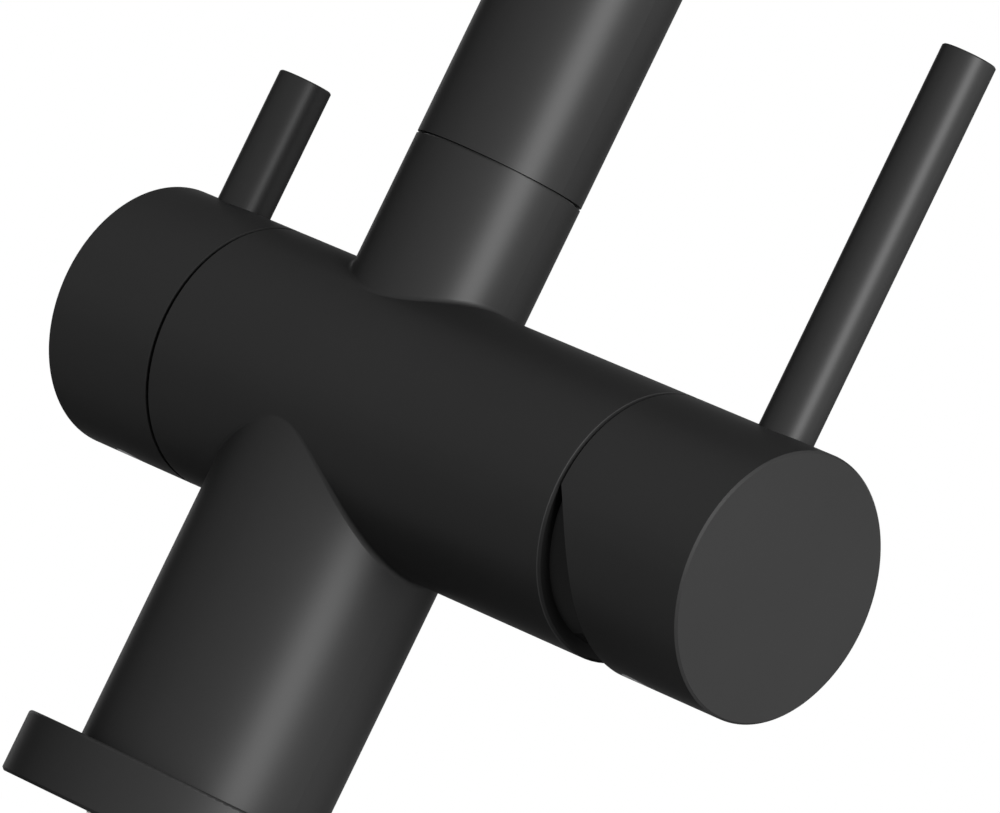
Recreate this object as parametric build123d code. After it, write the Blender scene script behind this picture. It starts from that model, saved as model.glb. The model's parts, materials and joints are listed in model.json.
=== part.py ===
from build123d import *
import math
import os

# A three-way kitchen faucet: a round post on a flange, a fatter cross body on the post, a swivel spout on
# top, a tilting mixer handle on the right and a quarter-turn filtered-water handle on the left.
# Millimetres. The origin is the centre of the flange's underside, on the deck. +Z is up, +X points to the
# mixer handle and -Y to the person at the sink.

os.makedirs("parts", exist_ok=True)

# Clearances
RUN = 0.05            # radial running fit of a shaft in its hole
SLIP = 0.05           # flat or round faces of one body that only meet
REST_GAP = 0.3        # pieces that lie loosely on each other
EPS = 1.0             # how far a cutter runs past the face that it opens

# Outer shape, measured from the photograph
AXIS_Z = 83.5         # height of the cross body's axis
BODY_R = 24.0
BODY_LEFT = -33.9
BODY_RIGHT = 66.0
BODY_EDGE = 0.5       # chamfer on the mixer end of the body, seen above the relief
LEFT_EDGE = 0.4
BODY_WALL = 4.0       # body wall outside the cartridge nut's thread
COLUMN_STEP = 1.55    # how much slimmer the column is than the cross body
COLUMN_R = BODY_R - COLUMN_STEP
COLUMN_FILLET = 1.0
NECK_R = 15.75
NECK_H = 47.0         # top of the neck over the body axis
NECK_TOP = AXIS_Z + NECK_H
NECK_FILLET = 0.9

FLANGE_R = 32.25
FLANGE_H = 11.5
FLANGE_ROUND = 0.6
FLANGE_FOOT = 0.5

CAP_EDGE = 0.4
CAP_WALL = 2.5
MIXER_SEAM = 0.6
MIXER_LENGTH = 32.8
MIXER_FACE = 4.4      # thickness of the closed end
MIXER_RIM = BODY_RIGHT + MIXER_SEAM
MIXER_END = MIXER_RIM + MIXER_LENGTH
FILTER_SEAM = 0.5
FILTER_LENGTH = 26.1
FILTER_FACE = 4.2
FILTER_RIM = BODY_LEFT - FILTER_SEAM
FILTER_END = FILTER_RIM - FILTER_LENGTH
RELIEF_R = 45.0       # arc that undercuts the lower half of the mixer rim
RELIEF_DEPTH = 8.8    # depth of that arc at the bottom of the rim

LEVER_R = 5.0
LEVER_EDGE = 0.25
LEVER_SINK = 3.5      # depth of the lever's shoulder below the cap's top
LEVER_SEAT = BODY_R - LEVER_SINK
MIXER_LEVER_IN = 13.5
MIXER_LEVER_X = MIXER_END - MIXER_LEVER_IN
MIXER_LEVER_TIP = 95.1
FILTER_LEVER_IN = 9.15
FILTER_LEVER_X = FILTER_END + FILTER_LEVER_IN
FILTER_LEVER_TIP = 49.1
STUD_R = 3.0
STUD_LENGTH = 10.5
STUD_SPARE = 1.0
BOSS_R = 6.5
BOSS_SKIN = 2.0       # cap wall left over the lever's boss
BOSS_TOP = BODY_R - BOSS_SKIN
HUB_R = 8.0

# Deck fixing
SEAL_INSET = 2.75
SEAL_W = 3.5
SEAL_OUT = FLANGE_R - SEAL_INSET
SEAL_IN = SEAL_OUT - SEAL_W
SEAL_H = 2.0
SHANK_R = 16.5
SHANK_WALL = 2.0
SHANK_BORE = SHANK_R - SHANK_WALL
SHANK_IN = 15.5       # thread inside the column
SHANK_TOP = FLANGE_H + SHANK_IN
SHANK_BOTTOM = -58.0
SHANK_EDGE = 0.8
RELIEF_GAP = 1.0      # thread relief below the nut
RELIEF_W = 2.0
RELIEF_DEEP = 0.8
BOSS_SPARE = 1.0      # column thread left over the shank
BOSS_END = SHANK_TOP + BOSS_SPARE
DECK = 20.0           # thickness of the worktop that the clamp closes on
GASKET_H = 3.0
WASHER_H = 2.0
CLAMP_R = 26.0
NUT_FLATS = 46.0
NUT_H = 12.0

# Hose manifold inside the column
COLUMN_WALL = 3.95
COLUMN_BORE = COLUMN_R - COLUMN_WALL
CEILING_DROP = 21.5   # ceiling of the column's bore below the body axis
CEILING = AXIS_Z - CEILING_DROP
MANIFOLD_R = COLUMN_BORE - REST_GAP
MANIFOLD_H = 11.0
MANIFOLD_GASKET = 1.0
MANIFOLD_BOTTOM = CEILING - MANIFOLD_GASKET - MANIFOLD_H
PORT_R = 5.0
PORT_DEPTH = 8.0
PORT_CIRCLE = 9.4
WATERWAY_R = 4.0
HOT_ANGLE = -30.0
COLD_ANGLE = 90.0
FILTER_ANGLE = 210.0
BOLT_R = 2.0
BOLT_HEAD_R = 3.5
BOLT_HEAD_H = 4.0
BOLT_LENGTH = 20.0
BOLT_HEX = 3.0

# Mixer cartridge, along +X
CART_DEPTH = 44.0     # seat of the cartridge inside the body's mixer end
SEAT_X = BODY_RIGHT - CART_DEPTH
THREAD_R = BODY_R - BODY_WALL
NUT_WALL = 2.5
CART_R = THREAD_R - NUT_WALL
CART_BORE = CART_R + REST_GAP
CART_WALL = 2.0
CART_INNER = CART_R - CART_WALL
BASE_H = 5.0
BASE_END = SEAT_X + BASE_H
PEG_R = 2.0
PEG_LENGTH = 3.0
PEG_INSET = 4.3
PEG_ANGLE = 37.3
PEG_Y = (CART_R - PEG_INSET) * math.cos(math.radians(PEG_ANGLE))
PEG_Z = (CART_R - PEG_INSET) * math.sin(math.radians(PEG_ANGLE))
INLET_Y = 5.5
INLET_Z = -5.0
INLET_R = 2.6
OUTLET_Z = 5.5
OUTLET_R = 3.4
SEAL_WEB = 3.0        # rubber around each cartridge port, wide enough to make one piece
SEAL_THICK = 2.4
DISC_H = 4.0
DISC_ROOM = 5.5       # travel of the moving disc in the housing
DISC_R = CART_INNER - DISC_ROOM
MIX_LONG = 13.0
MIX_WIDE = 7.0
MIX_DEEP = 1.8
GUIDE_IN = 24.0       # stem guide from the cartridge's seat
GUIDE_X = SEAT_X + GUIDE_IN
GUIDE_H = 4.0
GUIDE_PLAY = 0.6
GUIDE_R = CART_INNER - GUIDE_PLAY
GUIDE_STEP = 3.9
GUIDE_NECK = GUIDE_R - GUIDE_STEP
GUIDE_LENGTH = 19.0
GUIDE_END = GUIDE_X + GUIDE_LENGTH
SLIDER_END = GUIDE_X - REST_GAP
SLIDER_FLAT = 1.0
SLIDER_HALF = DISC_R - SLIDER_FLAT
SLIDER_PEG_R = 1.2
SLIDER_PEG_Y = 6.0
SLIDER_PEG_H = 1.4
PIVOT_IN = 12.0       # pivot from the guide's face
PIVOT_X = GUIDE_X + PIVOT_IN
BALL_ARM = 16.0       # ball from the pivot
BALL_X = PIVOT_X - BALL_ARM
BALL_R = 3.6
BALL_NECK = 2.4
BALL_PLAY = 0.3
RIB_LENGTH = 8.0
RIB_X = GUIDE_X - RIB_LENGTH
RIB_IN = SLIDER_HALF + REST_GAP
RIB_WALL = 2.7
RIB_SHORT = 1.2
RIB_HALF = DISC_R - RIB_SHORT
SLOT_SKIN = 2.4
SLOT_HALF_Z = GUIDE_NECK - SLOT_SKIN
SLOT_PLAY = 0.2
PIN_R = 1.5
PIN_SINK = 1.6
PIN_HALF = GUIDE_NECK - PIN_SINK
HUB_IN = 7.4
HUB_START = MIXER_RIM + HUB_IN
STEM = 8.0            # side of the square stem
STEM_BACK = 10.0      # square of the stem behind the pivot
STEM_START = PIVOT_X - STEM_BACK
STEM_IN = 12.0        # square of the stem inside the hub
STEM_END = HUB_START + STEM_IN
SHOULDER_IN = 32.0
SHOULDER_X = SEAT_X + SHOULDER_IN
COLLAR_WALL = 2.5
COLLAR_R = GUIDE_NECK + COLLAR_WALL
COLLAR_H = 10.0
COLLAR_END = SHOULDER_X + COLLAR_H
THREAD_SPARE = 1.0
THREAD_START = SHOULDER_X - THREAD_SPARE
NUT_STEP = 0.5
NUT_COLLAR_R = THREAD_R - NUT_STEP
NUT_COLLAR_H = 3.5
NUT_COLLAR_END = BODY_RIGHT + NUT_COLLAR_H
NUT_LIP = 2.0
NUT_MOUTH = COLLAR_R + NUT_LIP
NUT_NOTCH = 5.0
NUT_NOTCH_DEEP = 2.0
GRUB_R = 2.5
GRUB_LENGTH = 4.4
GRUB_HEX = 2.5
GRUB_HEX_DEEP = 2.0
MIXER_GRUB_IN = 6.0
MIXER_GRUB_X = HUB_START + MIXER_GRUB_IN
PLUG_R = 3.0
PLUG_H = 2.0

# Filter headwork, along -X
HW_FLATS = 24.0
HEX_ROOM = 0.35
HW_POCKET = HW_FLATS / math.sqrt(3) + HEX_ROOM
HW_SINK = 4.4         # depth of the hexagon's pocket in the body's filter end
HW_FLANGE_X = BODY_LEFT + HW_SINK
HW_FLANGE_H = 3.9
HW_LENGTH = 17.5
HW_SEAT = HW_FLANGE_X + HW_LENGTH
HW_SEAL_H = 1.0
HW_SEAL_IN = 5.0
HW_CAVITY_R = 8.3
HW_CAVITY_H = 13.0
HW_CAVITY_END = HW_SEAT - HW_CAVITY_H
HW_WALL = 2.2
HW_THREAD_R = HW_CAVITY_R + HW_WALL
HW_DISC_R = HW_CAVITY_R - 2 * SLIP
HW_DISC_H = 3.0
HW_WINDOW_IN = 11.0
HW_WINDOW_X = HW_SEAT - HW_WINDOW_IN
HW_WINDOW_R = 1.6
HW_CHAMBER_R = 6.0
HW_CHAMBER_H = 7.0
HW_CHAMBER_END = HW_SEAT + HW_CHAMBER_H
GALLERY_DEEP = 4.5
GALLERY_R = HW_THREAD_R + GALLERY_DEEP
GALLERY_HALF = 2.5
SPINDLE_R = 4.0
HW_NECK_WALL = 3.0
HW_NECK_R = SPINDLE_R + HW_NECK_WALL
HW_NECK_H = 13.5
HW_NECK_END = HW_FLANGE_X - HW_NECK_H
DRIVER_R = 7.0
DRIVER_H = 2.2
THRUST_R = 5.5
TONGUE_WIDE = 2.0
TONGUE_LONG = 11.0
TONGUE_H = 1.3
FILTER_HUB_IN = 10.6
FILTER_HUB_START = FILTER_RIM - FILTER_HUB_IN
SQUARE = 5.6
SQUARE_OUT = 0.5      # square of the spindle outside the hub
SQUARE_START = FILTER_HUB_START + SQUARE_OUT
SQUARE_IN = 9.0
SPINDLE_END = FILTER_HUB_START - SQUARE_IN
SPINDLE_GROOVE_IN = 5.0
SPINDLE_GROOVE_X = HW_NECK_END + SPINDLE_GROOVE_IN
SPINDLE_GROOVE_DEEP = 1.1
SPINDLE_GROOVE_R = SPINDLE_R - SPINDLE_GROOVE_DEEP
SPINDLE_GROOVE_W = 1.6
FILTER_GRUB_IN = 4.5
FILTER_GRUB_X = FILTER_HUB_START - FILTER_GRUB_IN

# Spout
RISER_H = 124.5
RISER_TOP = NECK_TOP + RISER_H
BEND_R = 92.0
DROP_H = 30.0
DROP_END = RISER_TOP - DROP_H
TUBE_WALL = 2.0
SEAM = 0.45           # dark ring between neck and spout
NECK_WALL = 2.7
NECK_BORE = NECK_R - NECK_WALL
FLOOR_UP = 20.5       # floor of the neck's bore over the body axis
NECK_FLOOR = AXIS_Z + FLOOR_UP
GLIDE_LIP = 1.25
GLIDE_OUT = NECK_R - GLIDE_LIP
GLIDE_PLAY = 0.15
GLIDE_IN = NECK_BORE + GLIDE_PLAY
GLIDE_H = 3.0
STUB_GAP = 1.0
STUB_BOTTOM = NECK_FLOOR + STUB_GAP
STUB_IN = 19.5
STUB_TOP = NECK_TOP + STUB_IN
STUB_WALL = 4.0
STUB_BORE = NECK_BORE - RUN - STUB_WALL
ORING_UP = 3.3
ORING_PITCH = 5.5
ORING_LOW = STUB_BOTTOM + ORING_UP
ORING_HIGH = ORING_LOW + ORING_PITCH
ORING_R = 1.05
ORING_SIDE = 0.25
KEEPER_DOWN = 10.0
KEEPER_Z = NECK_TOP - KEEPER_DOWN
KEEPER_HALF = 2.8
KEEPER_DEEP = 2.05
KEEPER_DEPTH = NECK_BORE - KEEPER_DEEP
KEEPER_LENGTH = 3.8
LINE_R = 4.0          # filtered-water line inside the spout
LINE_WALL = 1.0
LINE_IN = 3.2
LINE_BOTTOM = NECK_FLOOR - LINE_IN
LINE_SEAL_R = 1.15
LINE_PASSAGE_DOWN = 6.0
LINE_PASSAGE_Z = NECK_FLOOR - LINE_PASSAGE_DOWN
LINE_PASSAGE_R = 2.5
SUMP_DEEP = 10.0
LINE_SUMP = NECK_FLOOR - SUMP_DEEP
SPIDER_UP = 4.5
SPIDER_H = 12.0
SPIDER_LOW = NECK_TOP + SPIDER_UP
SPIDER_HIGH = SPIDER_LOW + SPIDER_H
SPIDER_WALL = 2.0
SPIDER_R = LINE_R + SPIDER_WALL
SPIDER_RIB = 2.0

AERATOR_H = 12.0
AERATOR_BOTTOM = DROP_END - AERATOR_H
SPIGOT_H = 7.0
SPIGOT_TOP = DROP_END + SPIGOT_H
SPIGOT_WALL = 1.75
AERATOR_R = NECK_R - TUBE_WALL - SPIGOT_WALL
AERATOR_LIP = 2.5
AERATOR_LIP_W = 1.0
AERATOR_LIP_R = AERATOR_R - AERATOR_LIP_W
INSERT_H = 10.5
AERATOR_TOP = AERATOR_BOTTOM + AERATOR_LIP + INSERT_H
COIN_SLOTS = 4
COIN_SLOT = 3.0
COIN_DEEP = 1.2
NOZZLE_WALL = 1.0
NOZZLE_R = LINE_R + NOZZLE_WALL
NOZZLE_OUT = 1.2
NOZZLE_BOTTOM = AERATOR_BOTTOM - NOZZLE_OUT
NOZZLE_BORE = 2.6
NOZZLE_LIP = 1.5
NOZZLE_HEAD_R = NOZZLE_R + NOZZLE_LIP
NOZZLE_HEAD_H = 2.0
LINE_END_IN = 9.0     # end of the line below the nozzle's top
LINE_TOP = AERATOR_TOP + NOZZLE_HEAD_H - LINE_END_IN
JETS_IN = 12
JETS_IN_STEP = 2.0
JETS_IN_CIRCLE = NOZZLE_R + JETS_IN_STEP
JETS_OUT = 18
JETS_OUT_STEP = 2.3
JETS_OUT_CIRCLE = AERATOR_R - JETS_OUT_STEP
JET_R = 0.9
WASHER_W = 3.0
WASHER_IN = AERATOR_R - WASHER_W

UPRIGHT = (Align.CENTER, Align.CENTER, Align.MIN)


def along_z(r, low, high, x=0.0, y=0.0):
    """Round bar along Z between two heights."""
    return Pos(x, y, low) * Cylinder(r, high - low, align=UPRIGHT)


def along_x(r, left, right, y=0.0, z=0.0):
    """Round bar along X; y and z are measured from the cross body's axis."""
    return Pos(left, y, AXIS_Z + z) * Rot(0, 90, 0) * Cylinder(r, right - left, align=UPRIGHT)


def along_y(r, near, far, x, z):
    """Round bar along Y at a place in the XZ plane; z is measured from the cross body's axis."""
    return Pos(x, near, AXIS_Z + z) * Rot(-90, 0, 0) * Cylinder(r, far - near, align=UPRIGHT)


def bar_x(left, right, wide, tall):
    """Rectangular bar along X, centred on the cross body's axis."""
    return Pos((left + right) / 2, 0, AXIS_Z) * Box(right - left, wide, tall)


def drill(start, end, r):
    """Round waterway from one point to another."""
    run = Vector(*end) - Vector(*start)
    return Plane(origin=start, z_dir=run) * Cylinder(r, run.length, align=UPRIGHT)


def hexagon(flats):
    return RegularPolygon(flats / math.sqrt(3), 6)


def circle_edges(shape, radius):
    """Round edges of one radius, for chamfers and fillets."""
    rounds = shape.edges().filter_by(GeomType.CIRCLE)
    return rounds.filter_by(lambda edge: abs(edge.radius - radius) < 0.01)


def saddle_edges(shape, low):
    """Curves where two round bars meet, above a height."""
    curves = shape.edges().filter_by(lambda edge: edge.geom_type not in (GeomType.CIRCLE, GeomType.LINE))
    return curves.filter_by(lambda edge: edge.center().Z > low)


def port_place(angle):
    turn = math.radians(angle)
    return PORT_CIRCLE * math.cos(turn), PORT_CIRCLE * math.sin(turn)


def spout_path(low, high):
    """Centreline of the swan neck: riser, half circle towards -Y and drop."""
    riser = Line((0, 0, low), (0, 0, RISER_TOP))
    middle = (0, -BEND_R, RISER_TOP + BEND_R)
    bend = ThreePointArc((0, 0, RISER_TOP), middle, (0, -2 * BEND_R, RISER_TOP))
    drop = Line((0, -2 * BEND_R, RISER_TOP), (0, -2 * BEND_R, high))
    return Wire([riser, bend, drop])


def save(name, shape):
    export_step(shape, f"parts/{name}.step")


# Base and deck fixing

def base_flange():
    disc = along_z(FLANGE_R, 0, FLANGE_H)
    disc = fillet(circle_edges(disc, FLANGE_R).sort_by(Axis.Z)[-1], FLANGE_ROUND)
    disc = chamfer(circle_edges(disc, FLANGE_R).sort_by(Axis.Z)[0], FLANGE_FOOT)
    groove = along_z(SEAL_OUT, -EPS, SEAL_H) - along_z(SEAL_IN, -EPS, SEAL_H)
    return disc - groove - along_z(SHANK_R + REST_GAP, -EPS, FLANGE_H + EPS)


def deck_seal():
    return along_z(SEAL_OUT - SLIP, 0, SEAL_H) - along_z(SEAL_IN + SLIP, 0, SEAL_H)


def nut_top():
    return -DECK - GASKET_H - WASHER_H


def mounting_shank():
    tube = along_z(SHANK_R, SHANK_BOTTOM, SHANK_TOP)
    tube = chamfer(circle_edges(tube, SHANK_R), SHANK_EDGE)
    high = nut_top() - NUT_H - RELIEF_GAP
    low = high - RELIEF_W
    tube -= along_z(SHANK_R + EPS, low, high) - along_z(SHANK_R - RELIEF_DEEP, low, high)
    return tube - along_z(SHANK_BORE, SHANK_BOTTOM - EPS, SHANK_TOP + EPS)


def clamp_ring(top, thick):
    low = top - thick
    return along_z(CLAMP_R, low, top) - along_z(SHANK_R + REST_GAP, low - EPS, top + EPS)


def mounting_nut():
    top = nut_top()
    blank = Pos(0, 0, top - NUT_H) * extrude(hexagon(NUT_FLATS), NUT_H)
    return blank - along_z(SHANK_R + SLIP, top - NUT_H - EPS, top + EPS)


# Body

def body_outside():
    shape = along_x(BODY_R, BODY_LEFT, BODY_RIGHT) + along_z(COLUMN_R, FLANGE_H, AXIS_Z)
    shape = fillet(saddle_edges(shape, FLANGE_H), COLUMN_FILLET)
    shape = shape + along_z(NECK_R, AXIS_Z, NECK_TOP)
    shape = fillet(saddle_edges(shape, AXIS_Z), NECK_FILLET)
    shape = chamfer(circle_edges(shape, BODY_R).sort_by(Axis.X)[-1], BODY_EDGE)
    return chamfer(circle_edges(shape, BODY_R).sort_by(Axis.X)[0], LEFT_EDGE)


def body_waterways():
    """Drilled ways from the manifold to the two valves and on to the spout."""
    hot_x, hot_y = port_place(HOT_ANGLE)
    cold_x, cold_y = port_place(COLD_ANGLE)
    filter_x, filter_y = port_place(FILTER_ANGLE)
    below = CEILING - EPS
    into_cartridge = SEAT_X + EPS
    inlet_z = AXIS_Z + INLET_Z
    cuts = drill((hot_x, hot_y, below), (into_cartridge, -INLET_Y, inlet_z), OUTLET_R)
    cuts += drill((cold_x, cold_y, below), (into_cartridge, INLET_Y, inlet_z), OUTLET_R)
    cuts += drill((filter_x, filter_y, below), ((HW_SEAT + HW_CHAMBER_END) / 2, 0, AXIS_Z), OUTLET_R)
    out_start = (SEAT_X + 2 * EPS, 0, AXIS_Z + OUTLET_Z)
    out_end = (NECK_BORE - OUTLET_R + EPS / 2, 0, NECK_FLOOR + 2 * EPS)
    cuts += drill(out_start, out_end, OUTLET_R)
    cuts += along_x(LINE_PASSAGE_R, HW_WINDOW_X, 0, z=LINE_PASSAGE_Z - AXIS_Z)
    return cuts


def body_shell():
    shape = body_outside()
    shape -= along_z(SHANK_R + SLIP, FLANGE_H - EPS, BOSS_END + EPS)
    shape -= along_z(COLUMN_BORE, BOSS_END, CEILING)
    shape -= along_z(BOLT_R + SLIP, CEILING - EPS, MANIFOLD_BOTTOM + BOLT_LENGTH + EPS)
    shape -= along_x(CART_BORE, SEAT_X, BODY_RIGHT + EPS)
    shape -= along_x(THREAD_R + SLIP, THREAD_START, BODY_RIGHT + EPS)
    for side in (-1, 1):
        shape -= along_x(PEG_R + SLIP, SEAT_X - PEG_LENGTH, SEAT_X + EPS, y=side * PEG_Y, z=PEG_Z)
    shape -= along_x(HW_THREAD_R + SLIP, BODY_LEFT - EPS, HW_SEAT)
    shape -= along_x(HW_POCKET, BODY_LEFT - EPS, HW_FLANGE_X)
    shape -= along_x(HW_CHAMBER_R, HW_SEAT - EPS, HW_CHAMBER_END)
    shape -= along_x(GALLERY_R, HW_WINDOW_X - GALLERY_HALF, HW_WINDOW_X + GALLERY_HALF)
    shape -= body_waterways()
    shape -= along_z(NECK_BORE, NECK_FLOOR, NECK_TOP + EPS)
    shape -= along_z(GLIDE_OUT + SLIP, NECK_TOP - GLIDE_H, NECK_TOP + EPS)
    shape -= along_z(LINE_R + RUN, LINE_SUMP, NECK_FLOOR + EPS)
    gland = LINE_R + RUN + 2 * LINE_SEAL_R
    shape -= along_z(gland + SLIP, NECK_FLOOR - 2 * LINE_SEAL_R, NECK_FLOOR + EPS)
    return shape - along_y(GRUB_R + SLIP, 0, NECK_R + EPS, 0, KEEPER_Z - AXIS_Z)


def manifold_ports(r, low, high):
    cuts = along_z(r, low, high, *port_place(HOT_ANGLE))
    cuts += along_z(r, low, high, *port_place(COLD_ANGLE))
    return cuts + along_z(r, low, high, *port_place(FILTER_ANGLE))


def hose_manifold():
    top = CEILING - MANIFOLD_GASKET
    block = along_z(MANIFOLD_R, MANIFOLD_BOTTOM, top)
    block -= manifold_ports(PORT_R, MANIFOLD_BOTTOM - EPS, MANIFOLD_BOTTOM + PORT_DEPTH)
    block -= manifold_ports(WATERWAY_R, MANIFOLD_BOTTOM, top + EPS)
    return block - along_z(BOLT_R + SLIP, MANIFOLD_BOTTOM - EPS, top + EPS)


def manifold_gasket():
    low = CEILING - MANIFOLD_GASKET
    sheet = along_z(MANIFOLD_R, low, CEILING)
    sheet -= manifold_ports(WATERWAY_R, low - EPS, CEILING + EPS)
    return sheet - along_z(BOLT_R + SLIP, low - EPS, CEILING + EPS)


def manifold_bolt():
    head_low = MANIFOLD_BOTTOM - BOLT_HEAD_H
    bolt = along_z(BOLT_HEAD_R, head_low, MANIFOLD_BOTTOM)
    bolt += along_z(BOLT_R, head_low, MANIFOLD_BOTTOM + BOLT_LENGTH)
    return bolt - Pos(0, 0, head_low) * extrude(hexagon(BOLT_HEX), BOLT_HEAD_H / 2)


# Mixer cartridge

def cartridge_ports(left, right, grow):
    cuts = along_x(OUTLET_R + grow, left, right, z=OUTLET_Z)
    for side in (-1, 1):
        cuts += along_x(INLET_R + grow, left, right, y=side * INLET_Y, z=INLET_Z)
    return cuts


def cartridge_base():
    plate = along_x(CART_R, SEAT_X + REST_GAP, BASE_END)
    for side in (-1, 1):
        peg_left = SEAT_X - PEG_LENGTH + REST_GAP
        plate += along_x(PEG_R, peg_left, BASE_END, y=side * PEG_Y, z=PEG_Z)
    pocket_right = SEAT_X + SEAL_THICK
    plate -= cartridge_ports(SEAT_X - EPS, pocket_right, SEAL_WEB + SLIP)
    return plate - cartridge_ports(SEAT_X, BASE_END + EPS, 0)


def cartridge_gasket():
    right = SEAT_X + SEAL_THICK
    lobes = cartridge_ports(SEAT_X, right, SEAL_WEB)
    return lobes - cartridge_ports(SEAT_X - EPS, right + EPS, 0)


def cartridge_housing():
    shell = along_x(CART_R, BASE_END, SHOULDER_X) + along_x(COLLAR_R, SHOULDER_X - EPS, COLLAR_END)
    shell -= along_x(CART_INNER, BASE_END - EPS, GUIDE_X + GUIDE_H + SLOT_PLAY)
    return shell - along_x(GUIDE_NECK + RUN, GUIDE_X, COLLAR_END + EPS)


def fixed_disc():
    disc = along_x(CART_INNER - SLIP, BASE_END, BASE_END + DISC_H)
    return disc - cartridge_ports(BASE_END - EPS, BASE_END + DISC_H + EPS, 0)


def moving_disc():
    left = BASE_END + DISC_H + SLIP
    disc = along_x(DISC_R, left, left + DISC_H)
    disc -= bar_x(left - EPS, left + MIX_DEEP, MIX_LONG, MIX_WIDE)
    for side in (-1, 1):
        disc -= along_x(SLIDER_PEG_R + SLIP, left + DISC_H - SLIDER_PEG_H - SLIP, left + DISC_H + EPS,
                        y=side * SLIDER_PEG_Y)
    return disc


def disc_slider():
    left = BASE_END + 2 * DISC_H + SLIP
    block = along_x(DISC_R, left, SLIDER_END) & bar_x(left, SLIDER_END, 2 * SLIDER_HALF, 2 * DISC_R)
    for side in (-1, 1):
        block += along_x(SLIDER_PEG_R, left - SLIDER_PEG_H, left + EPS, y=side * SLIDER_PEG_Y)
    return block - along_x(BALL_R + BALL_PLAY, BALL_X - BALL_R - BALL_PLAY, SLIDER_END + EPS)


def stem_guide():
    guide = along_x(GUIDE_R, GUIDE_X, GUIDE_X + GUIDE_H) + along_x(GUIDE_NECK, GUIDE_X, GUIDE_END)
    for side in (-1, 1):
        middle = side * (RIB_IN + RIB_WALL / 2)
        rib = Box(GUIDE_X + EPS - RIB_X, RIB_WALL, 2 * RIB_HALF)
        guide += Pos((GUIDE_X + EPS + RIB_X) / 2, middle, AXIS_Z) * rib
    guide -= bar_x(GUIDE_X - EPS, GUIDE_END + EPS, STEM + 2 * SLOT_PLAY, 2 * SLOT_HALF_Z)
    return guide - along_y(PIN_R + SLIP, -GUIDE_R, GUIDE_R, PIVOT_X, 0)


def pivot_pin():
    return along_y(PIN_R, -PIN_HALF, PIN_HALF, PIVOT_X, 0)


def cartridge_nut():
    ring = along_x(THREAD_R, SHOULDER_X + SLIP, BODY_RIGHT)
    ring += along_x(NUT_COLLAR_R, BODY_RIGHT - EPS, NUT_COLLAR_END)
    for turn in (0, 90):
        slot = Rot(turn, 0, 0) * Box(2 * NUT_NOTCH_DEEP, 3 * THREAD_R, NUT_NOTCH)
        ring -= Pos(NUT_COLLAR_END, 0, AXIS_Z) * slot
    ring -= along_x(COLLAR_R + REST_GAP, SHOULDER_X - EPS, NUT_COLLAR_END + EPS)
    return ring - along_x(NUT_MOUTH, COLLAR_END, NUT_COLLAR_END + EPS)


# Handles

def lever(x, tip):
    """Straight pin lever on a threaded stud."""
    seat = AXIS_Z + LEVER_SEAT
    pin = along_z(LEVER_R, seat, AXIS_Z + tip, x=x)
    pin = chamfer(circle_edges(pin, LEVER_R).sort_by(Axis.Z)[-1], LEVER_EDGE)
    return pin + along_z(STUD_R, seat - STUD_LENGTH, seat + EPS, x=x)


def lever_hole(x):
    seat = AXIS_Z + LEVER_SEAT
    hole = along_z(LEVER_R + SLIP, seat - SLIP, AXIS_Z + BODY_R + EPS, x=x)
    return hole + along_z(STUD_R + SLIP, seat - STUD_LENGTH - STUD_SPARE, seat, x=x)


def lever_boss(x):
    return along_z(BOSS_R, AXIS_Z, AXIS_Z + BOSS_TOP, x=x)


def grub_screw(x, tip):
    """Hexagon-socket screw under the handle; tip is its upper end below the axis."""
    screw = along_z(GRUB_R, AXIS_Z - tip - GRUB_LENGTH, AXIS_Z - tip, x=x)
    socket = Pos(x, 0, AXIS_Z - tip - GRUB_LENGTH) * extrude(hexagon(GRUB_HEX), GRUB_HEX_DEEP)
    return screw - socket


def screw_way(x):
    """Threaded hole through the hub and the key's hole through the wall."""
    way = along_z(GRUB_R + SLIP, AXIS_Z - HUB_R - EPS, AXIS_Z, x=x)
    return way + along_z(PLUG_R + SLIP, AXIS_Z - BODY_R - EPS, AXIS_Z - BODY_R + CAP_WALL + EPS, x=x)


def screw_plug(x):
    plug = along_z(PLUG_R, AXIS_Z - BODY_R - EPS, AXIS_Z - BODY_R + PLUG_H, x=x)
    return plug & along_x(BODY_R, x - 2 * PLUG_R, x + 2 * PLUG_R)


def rim_relief():
    """Cylinder along Y whose arc runs from the rim at axis height to its full depth at the bottom."""
    chord = math.hypot(RELIEF_DEPTH, BODY_R)
    reach = math.sqrt(RELIEF_R ** 2 - (chord / 2) ** 2)
    centre_x = MIXER_RIM + RELIEF_DEPTH / 2 - reach * BODY_R / chord
    centre_z = -BODY_R / 2 - reach * RELIEF_DEPTH / chord
    return along_y(RELIEF_R, -2 * BODY_R, 2 * BODY_R, centre_x, centre_z)


def mixer_cap():
    cup = along_x(BODY_R, MIXER_RIM, MIXER_END)
    cup = chamfer(circle_edges(cup, BODY_R).sort_by(Axis.X)[-1], CAP_EDGE)
    cup -= along_x(BODY_R - CAP_WALL, MIXER_RIM - EPS, MIXER_END - MIXER_FACE)
    cup += along_x(HUB_R, HUB_START, MIXER_END - EPS) + lever_boss(MIXER_LEVER_X)
    cup -= bar_x(HUB_START - EPS, STEM_END + REST_GAP, STEM + 2 * SLIP, STEM + 2 * SLIP)
    return cup - lever_hole(MIXER_LEVER_X) - screw_way(MIXER_GRUB_X) - rim_relief()


def mixer_stem():
    stem = bar_x(STEM_START, STEM_END, STEM, STEM)
    stem += along_x(BALL_NECK, BALL_X, STEM_START + EPS)
    stem += Pos(BALL_X, 0, AXIS_Z) * Sphere(BALL_R)
    return stem - along_y(PIN_R + RUN, -STEM, STEM, PIVOT_X, 0)


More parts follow.
